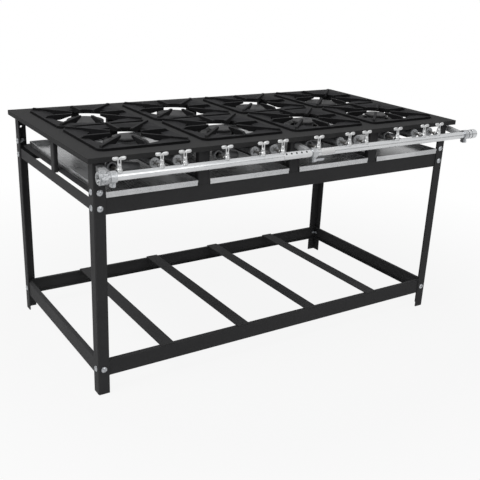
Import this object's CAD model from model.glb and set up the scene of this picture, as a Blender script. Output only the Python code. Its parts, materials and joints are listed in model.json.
"""Looks of the eight-burner commercial gas stove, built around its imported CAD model.

Metres, in the frame of the CAD: X runs along the gas pipe, Y to the back and Z up.
"""
import json
import math
import random

import bmesh
import bpy
from mathutils import Matrix, Vector


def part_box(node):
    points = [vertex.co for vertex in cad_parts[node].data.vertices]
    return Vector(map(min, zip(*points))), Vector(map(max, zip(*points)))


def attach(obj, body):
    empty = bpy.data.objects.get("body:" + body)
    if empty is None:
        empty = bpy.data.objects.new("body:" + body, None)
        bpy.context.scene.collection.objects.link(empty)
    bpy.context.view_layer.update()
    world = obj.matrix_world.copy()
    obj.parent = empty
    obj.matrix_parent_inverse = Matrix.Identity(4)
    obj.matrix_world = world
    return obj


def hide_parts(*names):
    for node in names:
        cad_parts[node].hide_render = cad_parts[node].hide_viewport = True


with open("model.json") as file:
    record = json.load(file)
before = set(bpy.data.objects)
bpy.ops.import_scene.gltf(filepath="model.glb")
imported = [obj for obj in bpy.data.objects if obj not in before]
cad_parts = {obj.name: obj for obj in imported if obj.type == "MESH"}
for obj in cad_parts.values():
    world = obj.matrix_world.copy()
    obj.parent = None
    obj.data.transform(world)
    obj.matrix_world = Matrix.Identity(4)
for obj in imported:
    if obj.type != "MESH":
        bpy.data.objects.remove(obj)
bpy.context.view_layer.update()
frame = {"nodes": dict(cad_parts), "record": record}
nodes = frame["nodes"]
MM = 0.001

# Camera, solved from the straight edges of the stand in the photograph
CAMERA_PLACE = (-1.54025, -2.291, 1.3364)
CAMERA_YAW = math.radians(33.54)
CAMERA_PITCH = math.radians(20.54)
CAMERA_ROLL = math.radians(2.58)
CAMERA_LENS = 55.2
SENSOR_WIDTH = 36


def link(thing):
    """Puts an object into the scene."""
    bpy.context.scene.collection.objects.link(thing)
    return thing


def place_camera():
    """Looks down on the stove from its front left."""
    forward = Vector((
        math.sin(CAMERA_YAW) * math.cos(CAMERA_PITCH),
        math.cos(CAMERA_YAW) * math.cos(CAMERA_PITCH),
        -math.sin(CAMERA_PITCH),
    ))
    level = Vector((math.cos(CAMERA_YAW), -math.sin(CAMERA_YAW), 0))
    upward = level.cross(forward)
    right = math.cos(CAMERA_ROLL) * level + math.sin(CAMERA_ROLL) * upward
    up = math.cos(CAMERA_ROLL) * upward - math.sin(CAMERA_ROLL) * level
    camera = link(bpy.data.objects.new("camera", bpy.data.cameras.new("camera")))
    camera.data.lens = CAMERA_LENS
    camera.data.sensor_width = SENSOR_WIDTH
    turn = Matrix((right, up, -forward)).transposed().to_4x4()
    camera.matrix_world = Matrix.Translation(CAMERA_PLACE) @ turn
    bpy.context.scene.camera = camera


place_camera()


# Materials

WHITE = (1, 1, 1, 1)
# Places of the Mix node's sockets, where several share a name
SHARE = 0
NUMBER_A, NUMBER_B = 2, 3
COLOUR_A, COLOUR_B = 6, 7
MIXED_COLOUR = 2
# The patches and the grain add up to about 1, and this much of their spread is used
NOISE_LOW, NOISE_HIGH = 0.75, 1.25
# Upward lean of a face's normal, up to which it is a side and from which it is a top
SIDE_LEAN, TOP_LEAN = 0.3, 0.9
# Cosine of the softened normal to the face's own, where rubbing starts and where it is full
RUB_STARTS, RUB_FULL = 0.985, 0.86


def linear(colour):
    """Linear RGBA of an sRGB hex colour."""
    values = [int(colour[i:i + 2], 16) / 255 for i in (1, 3, 5)]
    return (*[v / 12.92 if v <= 0.04045 else ((v + 0.055) / 1.055) ** 2.4 for v in values], 1)


def add_node(tree, kind, inputs=None, **settings):
    """Adds a shader node with its settings, and sets or links its inputs."""
    node = tree.nodes.new("ShaderNode" + kind)
    for name, value in settings.items():
        setattr(node, name, value)
    for name, value in (inputs or {}).items():
        if isinstance(value, bpy.types.NodeSocket):
            tree.links.new(value, node.inputs[name])
        else:
            node.inputs[name].default_value = value
    return node


def finish_surface(name, colours, roughness, grain, grain_depth, metallic=0.0, shine=0.5,
                   clouds=120 * MM, stretch=(1, 1, 1), edge=None, edge_width=1.2 * MM, sides=1.0):
    """A surface whose tone and gloss wander, with a fine relief and softened edges.

    colours are the low and high tone, roughness its low and high value, grain the size of
    the relief's grain, clouds the size of the patches, stretch draws the grain out along an
    axis, edge is the tone of rubbed edges and edge_width the radius that edges seem to have.
    sides is the share of the tone that is left on the sides where only the tops are rubbed.
    """
    material = bpy.data.materials.new(name)
    material.use_nodes = True
    tree = material.node_tree
    shader = tree.nodes["Principled BSDF"]
    shader.inputs["Metallic"].default_value = metallic
    shader.inputs["Specular IOR Level"].default_value = shine
    place = add_node(tree, "TexCoord").outputs["Object"]
    patches = add_node(tree, "TexNoise", {
        "Vector": place, "Scale": 1 / clouds, "Detail": 4.0, "Roughness": 0.6})
    drawn = add_node(tree, "Mapping", {"Vector": place, "Scale": stretch})
    fine = add_node(tree, "TexNoise", {
        "Vector": drawn.outputs["Vector"], "Scale": 1 / grain, "Detail": 5.0, "Roughness": 0.55})
    blend = add_node(tree, "Math", {
        0: patches.outputs["Fac"], 1: fine.outputs["Fac"]}, operation="ADD")
    tone = add_node(tree, "MapRange", {
        "Value": blend.outputs[0], "From Min": NOISE_LOW, "From Max": NOISE_HIGH})
    gloss = add_node(tree, "MapRange", {
        "Value": blend.outputs[0], "From Min": NOISE_LOW, "From Max": NOISE_HIGH,
        "To Min": roughness[0], "To Max": roughness[1]})
    colour = add_node(tree, "Mix", {
        SHARE: tone.outputs["Result"], COLOUR_A: linear(colours[0]),
        COLOUR_B: linear(colours[1])}, data_type="RGBA").outputs[MIXED_COLOUR]
    if sides < 1:
        facing = add_node(tree, "SeparateXYZ", {
            0: add_node(tree, "NewGeometry").outputs["Normal"]})
        soot = add_node(tree, "MapRange", {
            "Value": facing.outputs["Z"], "From Min": SIDE_LEAN, "From Max": TOP_LEAN,
            "To Min": sides})
        colour = add_node(tree, "Mix", {
            SHARE: 1.0, COLOUR_A: colour, COLOUR_B: soot.outputs["Result"]},
            data_type="RGBA", blend_type="MULTIPLY").outputs[MIXED_COLOUR]
    rounded = add_node(tree, "Bevel", {"Radius": edge_width}, samples=6)
    if edge:
        flat = add_node(tree, "NewGeometry")
        cosine = add_node(tree, "VectorMath", {
            0: rounded.outputs[0], 1: flat.outputs["Normal"]}, operation="DOT_PRODUCT")
        rub = add_node(tree, "MapRange", {
            "Value": cosine.outputs["Value"], "From Min": RUB_STARTS, "From Max": RUB_FULL})
        worn = add_node(tree, "Math", {
            0: rub.outputs["Result"], 1: tone.outputs["Result"]}, operation="MULTIPLY")
        colour = add_node(tree, "Mix", {
            SHARE: worn.outputs[0], COLOUR_A: colour, COLOUR_B: linear(edge)},
            data_type="RGBA").outputs[MIXED_COLOUR]
    relief = add_node(tree, "Bump", {
        "Height": fine.outputs["Fac"], "Distance": grain_depth, "Strength": 1.0,
        "Normal": rounded.outputs[0]})
    tree.links.new(colour, shader.inputs["Base Color"])
    tree.links.new(gloss.outputs["Result"], shader.inputs["Roughness"])
    tree.links.new(relief.outputs["Normal"], shader.inputs["Normal"])
    return material


# Heat-proof matt black paint: a faint orange peel, and edges where it has drawn thin
STAND_PAINT = finish_surface("black_stand_paint", ("#353536", "#404041"), (0.6, 0.75),
                             2.2 * MM, 0.05 * MM, shine=0.15, edge="#5c5c5c")
# The same paint on the cooktop, a little greyer where pans have rubbed it
TOP_PAINT = finish_surface("cooktop_paint", ("#383839", "#444444"), (0.65, 0.8),
                           2.2 * MM, 0.05 * MM, shine=0.05, edge="#525252")
# Sand-cast iron under a thin black coat, sooty on its sides and rubbed grey on top: its
# grain is drawn at 4 mm so that it shows
CAST_IRON = finish_surface("black_cast_iron", ("#262627", "#39393b"), (0.6, 0.8),
                           4 * MM, 0.35 * MM, shine=0.06, clouds=60 * MM, edge="#5a5a5a",
                           edge_width=2 * MM, sides=0.4)
# Bare sand-cast iron of the burner bowls and mixing tubes, grey and coarse: its grain is
# drawn at 3.5 mm so that it shows
BURNER_IRON = finish_surface("grey_cast_iron", ("#606163", "#7c7d7f"), (0.5, 0.7),
                             3.5 * MM, 0.3 * MM, shine=0.3, clouds=50 * MM, edge_width=2 * MM)
# Cast iron turned smooth on top, as burner caps are, and spotted by heat
CAP_IRON = finish_surface("turned_cast_iron", ("#2f2f30", "#4b4b4c"), (0.5, 0.65),
                          3 * MM, 0.3 * MM, shine=0.2, clouds=12 * MM, edge="#5e5e5e")
# Brushed stainless sheet: hairlines along the tray, drawn at 1.5 mm so that they show
STAINLESS = finish_surface("brushed_stainless", ("#a6a7a9", "#cccdce"), (0.22, 0.36),
                           1.5 * MM, 0.012 * MM, metallic=0.85, stretch=(1, 0.02, 1))
# Bright drawn steel tube, zinc plated, with faint draw marks along it
PIPE_METAL = finish_surface("bright_zinc_tube", ("#bfc1c3", "#d2d3d4"), (0.2, 0.28),
                            2 * MM, 0.006 * MM, metallic=1.0, stretch=(0.02, 1, 1))
# Nickel plate over castings, bright with a slight ripple
NICKEL = finish_surface("nickel_plate", ("#b6b7b8", "#d0d1d1"), (0.28, 0.4),
                        2.5 * MM, 0.04 * MM, metallic=1.0, clouds=20 * MM)
# Cast aluminium alloy, dull and mottled
ALLOY = finish_surface("cast_alloy", ("#a2a4a6", "#c6c8ca"), (0.3, 0.5),
                       3 * MM, 0.15 * MM, metallic=1.0, clouds=15 * MM)
# Aluminium paint on the folded arms, pale and only a little metallic
SILVER_PAINT = finish_surface("silver_paint", ("#a9abad", "#c9cacb"), (0.45, 0.6),
                              2 * MM, 0.05 * MM, metallic=0.3, clouds=20 * MM, edge="#dcdcdc")
# Galvanized malleable iron of the inlet coupling: a spangled, uneven grey
GALVANIZED = finish_surface("galvanized_coupling", ("#5c5e61", "#cfd1d3"), (0.3, 0.5),
                            2.5 * MM, 0.7 * MM, metallic=1.0, clouds=7 * MM)
# Zinc-plated sheet that has gone dull and spotted
DULL_ZINC = finish_surface("dull_zinc_sheet", ("#8c8e90", "#c2c4c6"), (0.4, 0.6),
                           2 * MM, 0.1 * MM, metallic=0.6, clouds=9 * MM)
# Machined brass, dulled to a warm grey
BRASS = finish_surface("dull_brass", ("#7d7b78", "#969491"), (0.3, 0.45),
                       1 * MM, 0.01 * MM, metallic=1.0, clouds=12 * MM)
# Rolled aluminium sheet of the bare cover plate, satin and bright, with rolling marks along it
COVER_SHEET = finish_surface("satin_aluminium", ("#dadbdc", "#e8e9ea"), (0.4, 0.5),
                             1.5 * MM, 0.01 * MM, metallic=0.55, clouds=30 * MM,
                             stretch=(0.05, 1, 1))
# Blackened steel of the cover plate's rivets, matt
RIVET_BLACK = finish_surface("black_rivets", ("#0b0b0b", "#141415"), (0.5, 0.6),
                             1 * MM, 0.02 * MM, shine=0.1, clouds=10 * MM)
# Zinc-plated screws, a cool grey that blurs what it mirrors
ZINC = finish_surface("zinc_screws", ("#9a9da0", "#bcbec1"), (0.25, 0.4),
                      1.5 * MM, 0.02 * MM, metallic=1.0, clouds=12 * MM)
# Blank white vinyl patch on the gas pipe, smooth and glossy
WHITE_VINYL = finish_surface("white_vinyl", ("#f6f6f6", "#fdfdfd"), (0.2, 0.3),
                             2 * MM, 0.01 * MM, shine=1.0, clouds=30 * MM)

FINISHES = {
    "frame_paint": STAND_PAINT, "cooktop_paint": TOP_PAINT, "cast_iron": CAST_IRON,
    "cast_iron_caps": CAP_IRON, "stainless": STAINLESS, "nickel": NICKEL,
    "pipe_paint": PIPE_METAL, "bracket_metal": ALLOY, "brass": BRASS, "zinc_sheet": DULL_ZINC,
    "zinc_bolts": ZINC,
}

for part in frame["record"]["subparts"]:
    if part["node"].startswith(("burner_front", "burner_rear")):
        finish = BURNER_IRON
    elif part["node"] == "pipe_arms":
        finish = SILVER_PAINT
    else:
        finish = FINISHES[part["material_slot"]]
    mesh = nodes[part["node"]].data
    mesh.materials.clear()
    mesh.materials.append(finish)

# The coupling at the pipe's left end has a finish of its own
fittings = nodes["pipe_end_fittings"].data
fittings.materials.append(GALVANIZED)
for face in fittings.polygons:
    face.material_index = 1 if face.center.x < 0 else 0


# Shapes, drawn in millimetres about a place of their own

def middle(name):
    """The middle of a CAD node's box."""
    low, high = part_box(name)
    return (Vector(low) + Vector(high)) / 2


SCALE = Matrix.Scale(MM, 4)
ALONG_X = Matrix.Rotation(math.radians(90), 4, "Y")
ALONG_Y = Matrix.Rotation(math.radians(-90), 4, "X")
UPWARD = Vector((0, 0, 1))
HEXAGON_SIDES = 6
# Points closer than this are one point of a seam
SEAM = 0.002 * MM
# Degrees from which an edge stays sharp, on turned or sheet pieces, on the handles and the
# stud, and on ropy pieces
TURNED_ANGLE, CAST_ANGLE, ROPY_ANGLE = 35, 60, 80

# The gas pipe, on which most of the pieces sit
PIPE = middle("gas_pipe")
PIPE_R = 13.35
VALVES = range(1, 13)


def at(x, y, z):
    """Millimetre space with its origin at a place given in metres."""
    return Matrix.Translation((x, y, z)) @ SCALE


def turned(work, profile, place, steps=32, closed=False):
    """Spins a (radius, height) outline about local Z, into a solid or a ring."""
    old = set(work.verts)
    ends = [work.verts.new((radius, 0, height)) for radius, height in profile]
    lines = [work.edges.new(pair) for pair in zip(ends, ends[1:])]
    if closed:
        lines.append(work.edges.new((ends[-1], ends[0])))
    bmesh.ops.spin(work, geom=ends + lines, cent=(0, 0, 0), axis=UPWARD,
                   angle=math.tau, steps=steps, use_merge=True, use_duplicate=False)
    new = [v for v in work.verts if v not in old]
    bmesh.ops.transform(work, matrix=place, verts=new)


def swept(work, points, radii, up, place, sides=6):
    """Extrudes a disc along points into a round bar, closed at both ends."""
    disc = bmesh.ops.create_circle(work, cap_ends=True, segments=sides, radius=1)
    section = disc["verts"]
    cap = section[0].link_faces[0]
    old = Matrix.Identity(4)
    for i, point in enumerate(points):
        run = (points[min(i + 1, len(points) - 1)] - points[max(i - 1, 0)]).normalized()
        across = run.cross(up).normalized()
        turn = Matrix((across, across.cross(run), -run)).transposed().to_4x4()
        new = place @ Matrix.Translation(point) @ turn @ Matrix.Scale(radii[i], 4)
        if i:
            drawn = bmesh.ops.extrude_face_region(work, geom=[cap, *cap.edges])["geom"]
            section = [part for part in drawn if isinstance(part, bmesh.types.BMVert)]
            cap = next(part for part in drawn if isinstance(part, bmesh.types.BMFace))
        bmesh.ops.transform(work, matrix=new @ old.inverted(), verts=section)
        old = new


def helix(work, place, radius, ridge, pitch, length):
    """A thread's ridge wound about local Z, which fades in and out within a turn."""
    steps = 28
    start_height = 0.2
    count = int(length / pitch * steps)
    points, radii = [], []
    for i in range(count + 1):
        turn = math.tau * i / steps
        points.append(Vector((radius * math.cos(turn), radius * math.sin(turn),
                              pitch * i / steps)))
        radii.append(ridge * min(1, start_height + i / steps, start_height + (count - i) / steps))
    swept(work, points, radii, UPWARD, place)


def finished_mesh(name, work):
    """Closes a bmesh's seams and turns its faces outwards."""
    bmesh.ops.remove_doubles(work, verts=work.verts, dist=SEAM)
    bmesh.ops.recalc_face_normals(work, faces=work.faces)
    mesh = bpy.data.meshes.new(name)
    work.to_mesh(mesh)
    work.free()
    return mesh


def melted_mesh(name, work, voxel, smooth_steps):
    """Melts the overlapping shapes of a bmesh into one smooth casting."""
    rough = link(bpy.data.objects.new(name + "_rough", finished_mesh(name + "_rough", work)))
    melt = rough.modifiers.new("melt", "REMESH")
    melt.mode = "VOXEL"
    melt.voxel_size = voxel
    rough.update_tag()
    solid = bpy.data.meshes.new_from_object(
        rough.evaluated_get(bpy.context.evaluated_depsgraph_get()))
    bpy.data.objects.remove(rough)
    work = bmesh.new()
    work.from_mesh(solid)
    for _ in range(smooth_steps):
        bmesh.ops.smooth_vert(work, verts=work.verts, factor=0.5, use_axis_x=True,
                              use_axis_y=True, use_axis_z=True)
    work.to_mesh(solid)
    work.free()
    return solid


def add_piece(name, mesh, finish, body, smooth_angle):
    """Puts a mesh into the scene as a piece of the stove."""
    mesh.materials.append(finish)
    piece = link(bpy.data.objects.new(name, mesh))
    mesh.shade_smooth()
    mesh.set_sharp_from_angle(angle=math.radians(smooth_angle))
    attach(piece, body)
    return piece


def add_fixed_piece(name, work, finish, smooth_angle=TURNED_ANGLE):
    """Makes a bmesh a piece that stays with the stand."""
    return add_piece(name, finished_mesh(name, work), finish, "stove", smooth_angle)


# Butterfly handles: two lobes over a forked stem, cast in one

# Top of the valve castings and middle of the lobes, over the pipe's middle
VALVE_TOP = 29
LOBE_HEIGHT = 52
# Outwards, upwards from the middle of the lobes, and radius
LOBE = ((0, -2.6, 3.4), (3, -1.6, 4.2), (6, -0.4, 5.3), (9, 0, 5.9), (14, 0, 6.0),
        (17.5, -0.2, 5.6), (20, -0.7, 4.2), (21.5, -1.2, 2.0))
PRONG = ((3.4, -3, 2.6), (4.0, -7, 2.3), (4.0, -11, 2.2), (3.9, -15, 2.4), (3.4, -18, 3.0))
# Lobes are flattened front to back
LOBE_PLACE = SCALE @ Matrix.Diagonal((1, 0.55, 1, 1))
# Radius, and up from the top of the castings
STEM = ((0, -6), (3.4, -6), (3.4, 0.6), (7.2, 0.6), (7.4, 1.6), (6.8, 3.6), (6.0, 6.4), (0, 8))


def handle_shape():
    """A handle over the origin, in metres."""
    work = bmesh.new()
    backward = Vector((0, 1, 0))
    for side in (-1, 1):
        for outline, place, segments in ((LOBE, LOBE_PLACE, 20), (PRONG, SCALE, 14)):
            points = [Vector((side * x, 0, LOBE_HEIGHT + z)) for x, z, _ in outline]
            radii = [radius for _, _, radius in outline]
            swept(work, points, radii, backward, place, segments)
    turned(work, [(radius, VALVE_TOP + height) for radius, height in STEM], SCALE)
    return melted_mesh("handle", work, voxel=0.5 * MM, smooth_steps=3)


def make_handles():
    """A cast handle in place of each plain one."""
    shape = handle_shape()
    for k in VALVES:
        node = "valve_handle_%d" % k
        centre = middle(node)
        mesh = shape.copy()
        mesh.transform(Matrix.Translation((centre.x, centre.y, PIPE.z)))
        piece = add_piece("butterfly_handle_%d" % k, mesh, NICKEL, node, CAST_ANGLE)
        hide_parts(node)


# Valve castings: a saddle on the pipe, a hexagon, shoulders and a gland nut, with the outlet
# behind. Outlines are a radius and a height over the pipe's middle

SADDLE = ((3, 11), (9.4, 11), (9.4, 14.2), (8.8, 14.8), (3, 14.8))
HEXAGON = ((3, 14.4), (8.8, 14.4), (9.5, 15.2), (9.5, 19.4), (8.6, 20.2), (3, 20.2))
HALF_A_FLAT = Matrix.Rotation(math.radians(30), 4, "Z")
SHOULDERS = ((3.6, 19.8), (8.3, 19.8), (8.2, 21.2), (7.2, 22.6), (6.5, 23.4), (6.5, 24.2),
             (3.6, 24.2))
GLAND_NUT = ((3.6, 23.8), (7.0, 23.8), (7.6, 24.4), (7.6, 28.2), (7.0, 28.8), (3.6, 28.8))
OUTLET = ((2.5, 5), (6.0, 5), (6.0, 10.6), (5.4, 11), (5.4, 11.6), (6.0, 12), (6.0, 14),
          (2.5, 14))
OUTLET_PLACE = Matrix.Translation((0, 0, 14)) @ ALONG_Y


def make_valves():
    """All valve castings as one piece, in place of the plain ones."""
    work = bmesh.new()
    for k in VALVES:
        centre = middle("valve_handle_%d" % k)
        place = at(centre.x, centre.y, PIPE.z)
        turned(work, SADDLE, place, closed=True)
        turned(work, HEXAGON, place @ HALF_A_FLAT, HEXAGON_SIDES, closed=True)
        turned(work, SHOULDERS, place, closed=True)
        turned(work, GLAND_NUT, place, HEXAGON_SIDES, closed=True)
        turned(work, OUTLET, place @ OUTLET_PLACE, 24, closed=True)
    piece = add_fixed_piece("valve_castings", work, NICKEL)
    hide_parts("valve_bodies")


# Threads inside the open coupling and on the pipe's right end, of 14 turns to the inch

PIPE_PITCH = 1.81
FITTINGS_LEFT, FITTINGS_RIGHT = (corner[0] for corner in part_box("pipe_end_fittings"))
# Name, start in metres, and radius, ridge and run in millimetres
PIPE_THREADS = (
    ("inlet_thread", FITTINGS_LEFT + 0.5 * MM, 12.1, 0.75, 14),
    ("end_thread", FITTINGS_RIGHT - 31 * MM, PIPE_R, 0.55, 5.4),
)


def make_threads():
    """The ridges of the two pipe threads."""
    for name, start, radius, ridge, length in PIPE_THREADS:
        work = bmesh.new()
        helix(work, at(start, PIPE.y, PIPE.z) @ ALONG_X, radius, ridge, PIPE_PITCH, length)
        add_fixed_piece(name, work, PIPE_METAL, ROPY_ANGLE)


# Weld beads: rippled strips where the posts, slats and struts meet their rails, in metres

WELD_SEED = 7
DIVIDERS = 3
POST_WIDTH = 42 * MM
SLATS = 4
SLAT_WIDTH = 50 * MM
# Bead radii, from light to heavy
FACE_BEAD, POST_BEAD, SLAT_BEAD = 1.4 * MM, 1.6 * MM, 1.7 * MM
# How far beads along a face stop short of its ends, and from where to where beads across a
# rail run in from its edge
POST_INSET, STRUT_INSET = 3 * MM, 2 * MM
POST_RUN = (4 * MM, 18 * MM)
SLAT_RUN = (2 * MM, 13 * MM)
# Ripples: their step, and the shares of a bead's radius at trough, crest and either end
RIPPLE = 1.6 * MM
TROUGH, CREST, TAPER = 0.85, 1.1, 0.35
UNEVENNESS = (0.9, 1.1)


def bead(work, start, end, size, rng):
    """A weld bead from one point to another."""
    start, end = Vector(start), Vector(end)
    count = max(3, int((end - start).length / RIPPLE))
    points, radii = [], []
    for i in range(count + 1):
        wave = TROUGH if i % 2 else CREST
        points.append(start.lerp(end, i / count))
        taper = TAPER if i in (0, count) else 1
        radii.append(size * wave * rng.uniform(*UNEVENNESS) * taper)
    swept(work, points, radii, UPWARD, Matrix.Identity(4))


def post_seams():
    """Start, end and size of the beads at the feet of the divider posts."""
    (_, front, _), (_, _, top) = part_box("upper_front_rail")
    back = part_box("upper_rear_rail")[1][1]
    posts_low, posts_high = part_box("divider_posts")
    pitch = (posts_high[0] - posts_low[0] - POST_WIDTH) / (DIVIDERS - 1)
    for i in range(DIVIDERS):
        left = posts_low[0] + i * pitch
        right = left + POST_WIDTH
        for y, inward in ((front, 1), (back, -1)):
            yield (left + POST_INSET, y, top), (right - POST_INSET, y, top), FACE_BEAD
            for x in (left, right):
                start, end = ((x, y + inward * run, top) for run in POST_RUN)
                yield start, end, POST_BEAD


def slat_seams():
    """The same for the ends of the shelf slats."""
    (_, front, _), (_, back, top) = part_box("lower_rails")
    slats_low, slats_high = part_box("shelf_slats")
    pitch = (slats_high[0] - slats_low[0] - SLAT_WIDTH) / (SLATS - 1)
    for i in range(SLATS):
        left = slats_low[0] + i * pitch
        for x in (left, left + SLAT_WIDTH):
            for y, inward in ((front, 1), (back, -1)):
                start, end = ((x, y + inward * run, top) for run in SLAT_RUN)
                yield start, end, SLAT_BEAD


def strut_seams():
    """The same for the feet of the side struts."""
    (left, _, _), (right, _, top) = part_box("upper_side_rails")
    (_, front, _), (_, back, _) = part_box("side_struts")
    for x in (left, right):
        yield (x, front + STRUT_INSET, top), (x, back - STRUT_INSET, top), FACE_BEAD


def make_welds():
    """All weld beads as one piece."""
    rng = random.Random(WELD_SEED)
    work = bmesh.new()
    for seams in (post_seams, slat_seams, strut_seams):
        for start, end, size in seams():
            bead(work, start, end, size, rng)
    add_fixed_piece("weld_beads", work, STAND_PAINT, ROPY_ANGLE)


# Bare cover plate with a row of rivets, and a blank vinyl patch, both wrapped on the pipe

COVER_PLATE = {"x_from": -138.3, "x_to": -24.3, "turn_from": -38, "turn_to": 62, "thick": 0.8,
               "rounded": 7}
VINYL_PATCH = {"x_from": 15.8, "x_to": 73.8, "turn_from": -28, "turn_to": 76, "thick": 0.15}
FIRST_RIVET = -129.3
RIVET_PITCH = 20.7
RIVET_COUNT = 5
RIVET_TURN = Matrix.Rotation(math.radians(48), 4, "X")
# Radius, and height over the pipe
RIVET = ((0, 0.3), (3.3, 0.3), (3.3, 1.0), (2.4, 1.5), (0, 1.7))


def wrapped(work, x_from, x_to, turn_from, turn_to, thick, rounded=0.0):
    """A sheet bent round the pipe, sunk a little into it and rounded at its right end.

    It runs between two places along the pipe in millimetres, and two turns in degrees
    counted from the front upwards.
    """
    sink = 0.2
    sheet = bmesh.ops.create_grid(work, x_segments=24, y_segments=14, size=1)["verts"]
    for vert in sheet:
        along, round_share = (vert.co.x + 1) / 2, (vert.co.y + 1) / 2
        bow = rounded * (1 - math.sqrt(max(0.0, 1 - vert.co.y ** 2)))
        turn = math.radians(turn_from + (turn_to - turn_from) * round_share)
        vert.co = (
            (x_from + (x_to - bow - x_from) * along) * MM,
            PIPE.y - (PIPE_R - sink) * math.cos(turn) * MM,
            PIPE.z + (PIPE_R - sink) * math.sin(turn) * MM,
        )
    work.normal_update()
    bmesh.ops.solidify(work, geom=work.faces[:], thickness=-(thick + sink) * MM)


def make_pipe_marks():
    """The cover plate, its rivets and the patch."""
    work = bmesh.new()
    wrapped(work, **COVER_PLATE)
    add_fixed_piece("blank_cover_plate", work, COVER_SHEET)
    work = bmesh.new()
    for k in range(RIVET_COUNT):
        place = at((FIRST_RIVET + RIVET_PITCH * k) * MM, PIPE.y, PIPE.z) @ RIVET_TURN
        turned(work, [(radius, PIPE_R + height) for radius, height in RIVET], place, 20)
    add_fixed_piece("cover_plate_rivets", work, RIVET_BLACK)
    work = bmesh.new()
    wrapped(work, **VINYL_PATCH)
    add_fixed_piece("blank_vinyl_patch", work, WHITE_VINYL)


# Threaded stud in the side of the middle clamp's ear. Outlines are a radius and a run from
# the ear

STUD_PLACE = at(-4.3 * MM, PIPE.y, PIPE.z - 25 * MM) @ ALONG_X
STUD_R = 5.2
STUD = ((0, -2), (STUD_R, -2), (STUD_R, 38), (4.4, 40), (0, 40))
STUD_NUT = ((5, 0.3), (8, 0.3), (8.6, 0.9), (8.6, 6), (8, 6.6), (5, 6.6))
STUD_PITCH, STUD_RIDGE = 1.75, 0.5
STUD_THREAD_START, STUD_THREAD_RUN = 7, 31


def make_stud():
    """The stud with its nut and thread."""
    work = bmesh.new()
    turned(work, STUD, STUD_PLACE, 24)
    turned(work, STUD_NUT, STUD_PLACE, HEXAGON_SIDES, closed=True)
    thread_place = STUD_PLACE @ Matrix.Translation((0, 0, STUD_THREAD_START))
    helix(work, thread_place, STUD_R, STUD_RIDGE, STUD_PITCH, STUD_THREAD_RUN)
    add_fixed_piece("clamp_stud", work, ZINC, CAST_ANGLE)


make_handles()
make_valves()
make_threads()
make_welds()
make_pipe_marks()
make_stud()


# Stage

FLOOR_SIZE = 30
# Metres between which the floor turns wholly white, and its share of white near the stove
FADE_STARTS, FADE_ENDS = 0.9, 2.2
NEAR_WHITE = 0.9
FLOOR_PAINT = linear("#c4c4c4")
# Strength of the soft light all round
SOFT_LIGHT = 0.24
# Where the studio that metal mirrors darkens towards the back, and its level there
BACK_STARTS, BACK_FULL = -0.3, 0.5
BACK_LEVEL = 0.95
# Dark band in that studio: how far up it leans, half its width at its core and at its end,
# and its level
BAND_HEIGHT = 0.1
BAND_CORE, BAND_END = 0.05, 0.16
BAND_LEVEL = 0.3
# Lamps: where they aim, and their names, places, sizes and watts
AIM = Vector((0, 0, 0.6))
LAMPS = (
    ("key_lamp", (-2.9, -0.6, 4.2), 2.2, 94),
    ("side_lamp", (-4.0, -0.6, 1.7), 1.4, 6),
    ("front_lamp", (0.4, -3.6, 2.2), 2.2, 23),
)


def make_floor():
    """A pale floor that keeps a soft shadow and turns white further off."""
    work = bmesh.new()
    bmesh.ops.create_grid(work, x_segments=1, y_segments=1, size=FLOOR_SIZE)
    mesh = bpy.data.meshes.new("floor")
    work.to_mesh(mesh)
    work.free()
    link(bpy.data.objects.new("floor", mesh))
    material = bpy.data.materials.new("white_floor")
    material.use_nodes = True
    tree = material.node_tree
    tree.nodes.clear()
    place = add_node(tree, "TexCoord").outputs["Object"]
    reach = add_node(tree, "VectorMath", {0: place}, operation="LENGTH")
    white = add_node(tree, "MapRange", {
        "Value": reach.outputs["Value"], "From Min": FADE_STARTS, "From Max": FADE_ENDS,
        "To Min": NEAR_WHITE, "To Max": 1.0})
    path = add_node(tree, "LightPath")
    mirrored = add_node(tree, "Math", {
        0: path.outputs["Is Camera Ray"], 1: path.outputs["Is Glossy Ray"]}, operation="MAXIMUM")
    seen = add_node(tree, "Math", {
        0: mirrored.outputs[0], 1: path.outputs["Is Transmission Ray"]}, operation="MAXIMUM")
    share = add_node(tree, "Math", {
        0: seen.outputs[0], 1: white.outputs["Result"]}, operation="MULTIPLY")
    paint = add_node(tree, "BsdfDiffuse", {"Color": FLOOR_PAINT})
    glow = add_node(tree, "Emission", {"Color": WHITE, "Strength": 1.0})
    mixed = add_node(tree, "MixShader", {
        0: share.outputs[0], 1: paint.outputs[0], 2: glow.outputs[0]})
    tree.links.new(mixed.outputs[0], add_node(tree, "OutputMaterial").inputs["Surface"])
    mesh.materials.append(material)


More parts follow.
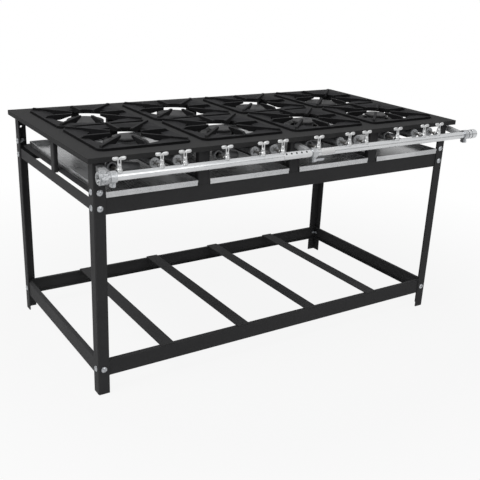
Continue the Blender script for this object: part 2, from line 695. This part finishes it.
def make_world():
    """White where it is seen, a soft light all round, and for mirror rays a pale studio.

    The studio is a little darker behind the stove, and dark in a band near eye height.
    """
    world = bpy.data.worlds.new("studio")
    bpy.context.scene.world = world
    world.use_nodes = True
    tree = world.node_tree
    tree.nodes.clear()
    way = add_node(tree, "SeparateXYZ", {0: add_node(tree, "TexCoord").outputs["Generated"]})
    behind = add_node(tree, "MapRange", {
        "Value": way.outputs["Y"], "From Min": BACK_STARTS, "From Max": BACK_FULL,
        "To Min": 1.0, "To Max": BACK_LEVEL})
    above = add_node(tree, "Math", {0: way.outputs["Z"], 1: BAND_HEIGHT}, operation="SUBTRACT")
    away = add_node(tree, "Math", {0: above.outputs[0]}, operation="ABSOLUTE")
    band = add_node(tree, "MapRange", {
        "Value": away.outputs[0], "From Min": BAND_CORE, "From Max": BAND_END,
        "To Min": BAND_LEVEL, "To Max": 1.0})
    mirrored = add_node(tree, "Math", {
        0: behind.outputs["Result"], 1: band.outputs["Result"]}, operation="MULTIPLY")
    path = add_node(tree, "LightPath")
    level = add_node(tree, "Mix", {
        SHARE: path.outputs["Is Glossy Ray"], NUMBER_A: SOFT_LIGHT,
        NUMBER_B: mirrored.outputs[0]}, data_type="FLOAT")
    seen = add_node(tree, "Math", {
        0: path.outputs["Is Camera Ray"], 1: path.outputs["Is Transmission Ray"]},
        operation="MAXIMUM")
    light = add_node(tree, "Background", {"Color": WHITE, "Strength": level.outputs[0]})
    white = add_node(tree, "Background", {"Color": WHITE, "Strength": 1.0})
    mixed = add_node(tree, "MixShader", {
        0: seen.outputs[0], 1: light.outputs[0], 2: white.outputs[0]})
    tree.links.new(mixed.outputs[0], add_node(tree, "OutputWorld").inputs["Surface"])


def make_lamps():
    """A large soft lamp high on the left, a weak one low there and a fill at the front."""
    for name, place, size, power in LAMPS:
        lamp = bpy.data.lights.new(name, "AREA")
        lamp.size = size
        lamp.energy = power
        holder = link(bpy.data.objects.new(name, lamp))
        turn = (AIM - Vector(place)).to_track_quat("-Z", "Y").to_matrix().to_4x4()
        holder.matrix_world = Matrix.Translation(place) @ turn


make_floor()
make_world()
make_lamps()
bpy.context.scene.view_settings.view_transform = "Standard"
